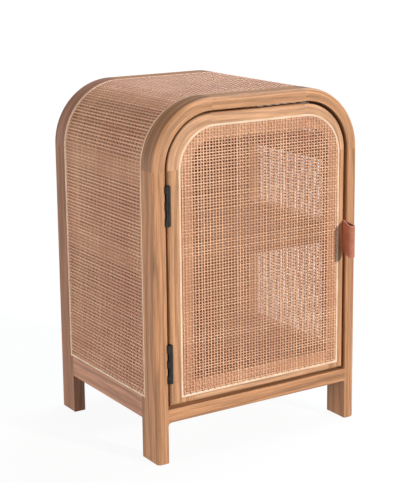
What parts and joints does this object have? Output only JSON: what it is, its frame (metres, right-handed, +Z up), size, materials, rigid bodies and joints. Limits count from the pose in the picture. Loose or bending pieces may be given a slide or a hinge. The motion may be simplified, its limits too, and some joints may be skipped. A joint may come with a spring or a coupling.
{
  "type": "storage side table",
  "caption": "Arched wooden side table with woven cane webbing wrapped over its rounded shoulders and a hinged cane-panelled door with a leather loop pull.",
  "frame": {"origin": "on the floor, in the middle of the rectangle that the four feet stand on", "axes": "+Z up; the door faces -Y and is hinged on its left edge, at -X; the plain back is at +Y"},
  "size_m": [0.408, 0.3764, 0.6],
  "materials": {
    "wood": "satin clear lacquer over straight-grained light wood",
    "cane_webbing": "natural rattan cane, woven open, matt to slightly glossy skin",
    "reed_spline": "pale peeled reed, matt",
    "beech_dowel": "plain beech",
    "plywood": "plain plywood",
    "black_metal": "matt black powder coat",
    "leather": "reddish brown vegetable-tanned leather with pale cut edges",
    "catch_plastic": "brown moulded plastic",
    "magnet": "dark ferrite",
    "zinc_steel": "bright zinc plate"
  },
  "bodies": {
    "carcass": {"back_bottom_rail": "wood", "back_left_post": "wood", "back_left_shoulder": "wood", "back_panel": "plywood", "back_panel_screws": "zinc_steel", "back_right_post": "wood", "back_right_shoulder": "wood", "back_spline": "reed_spline", "back_top_rail": "wood", "board_dowels": "beech_dowel", "bottom_board": "wood", "bottom_board_screws": "zinc_steel", "carcass_webbing": "cane_webbing", "catch_housing": "catch_plastic", "catch_magnet": "magnet", "catch_screws": "zinc_steel", "frame_dowels": "beech_dowel", "front_bottom_rail": "wood", "front_left_post": "wood", "front_left_shoulder": "wood", "front_right_post": "wood", "front_right_shoulder": "wood", "front_spline": "reed_spline", "front_top_rail": "wood", "hinge_frame_screws": "black_metal", "left_lower_rail": "wood", "left_lower_spline": "reed_spline", "left_shelf_rail": "wood", "left_side_webbing": "cane_webbing", "left_upper_rail": "wood", "lower_hinge_frame_leaf": "black_metal", "lower_hinge_pin": "black_metal", "middle_shelf": "wood", "rail_dowels": "beech_dowel", "right_lower_rail": "wood", "right_lower_spline": "reed_spline", "right_shelf_rail": "wood", "right_side_webbing": "cane_webbing", "right_upper_rail": "wood", "top_board": "wood", "upper_hinge_frame_leaf": "black_metal", "upper_hinge_pin": "black_metal"},
    "door": {"door_bottom_rail": "wood", "door_hinge_stile": "wood", "door_lock_stile": "wood", "door_left_corner": "wood", "door_right_corner": "wood", "door_top_rail": "wood", "door_webbing": "cane_webbing", "door_spline": "reed_spline", "door_dowels": "beech_dowel", "upper_hinge_door_leaf": "black_metal", "lower_hinge_door_leaf": "black_metal", "hinge_door_screws": "black_metal", "leather_pull": "leather", "pull_screws": "zinc_steel", "strike_plate": "zinc_steel", "strike_screws": "zinc_steel"}
  },
  "joints": [
    {"name": "door_hinge", "type": "hinge", "parent": "carcass", "child": "door", "pos_m": [-0.1785, -0.1764, 0.3025], "axis": [0, 0, -1], "range_deg": [0, 110]}
  ]
}
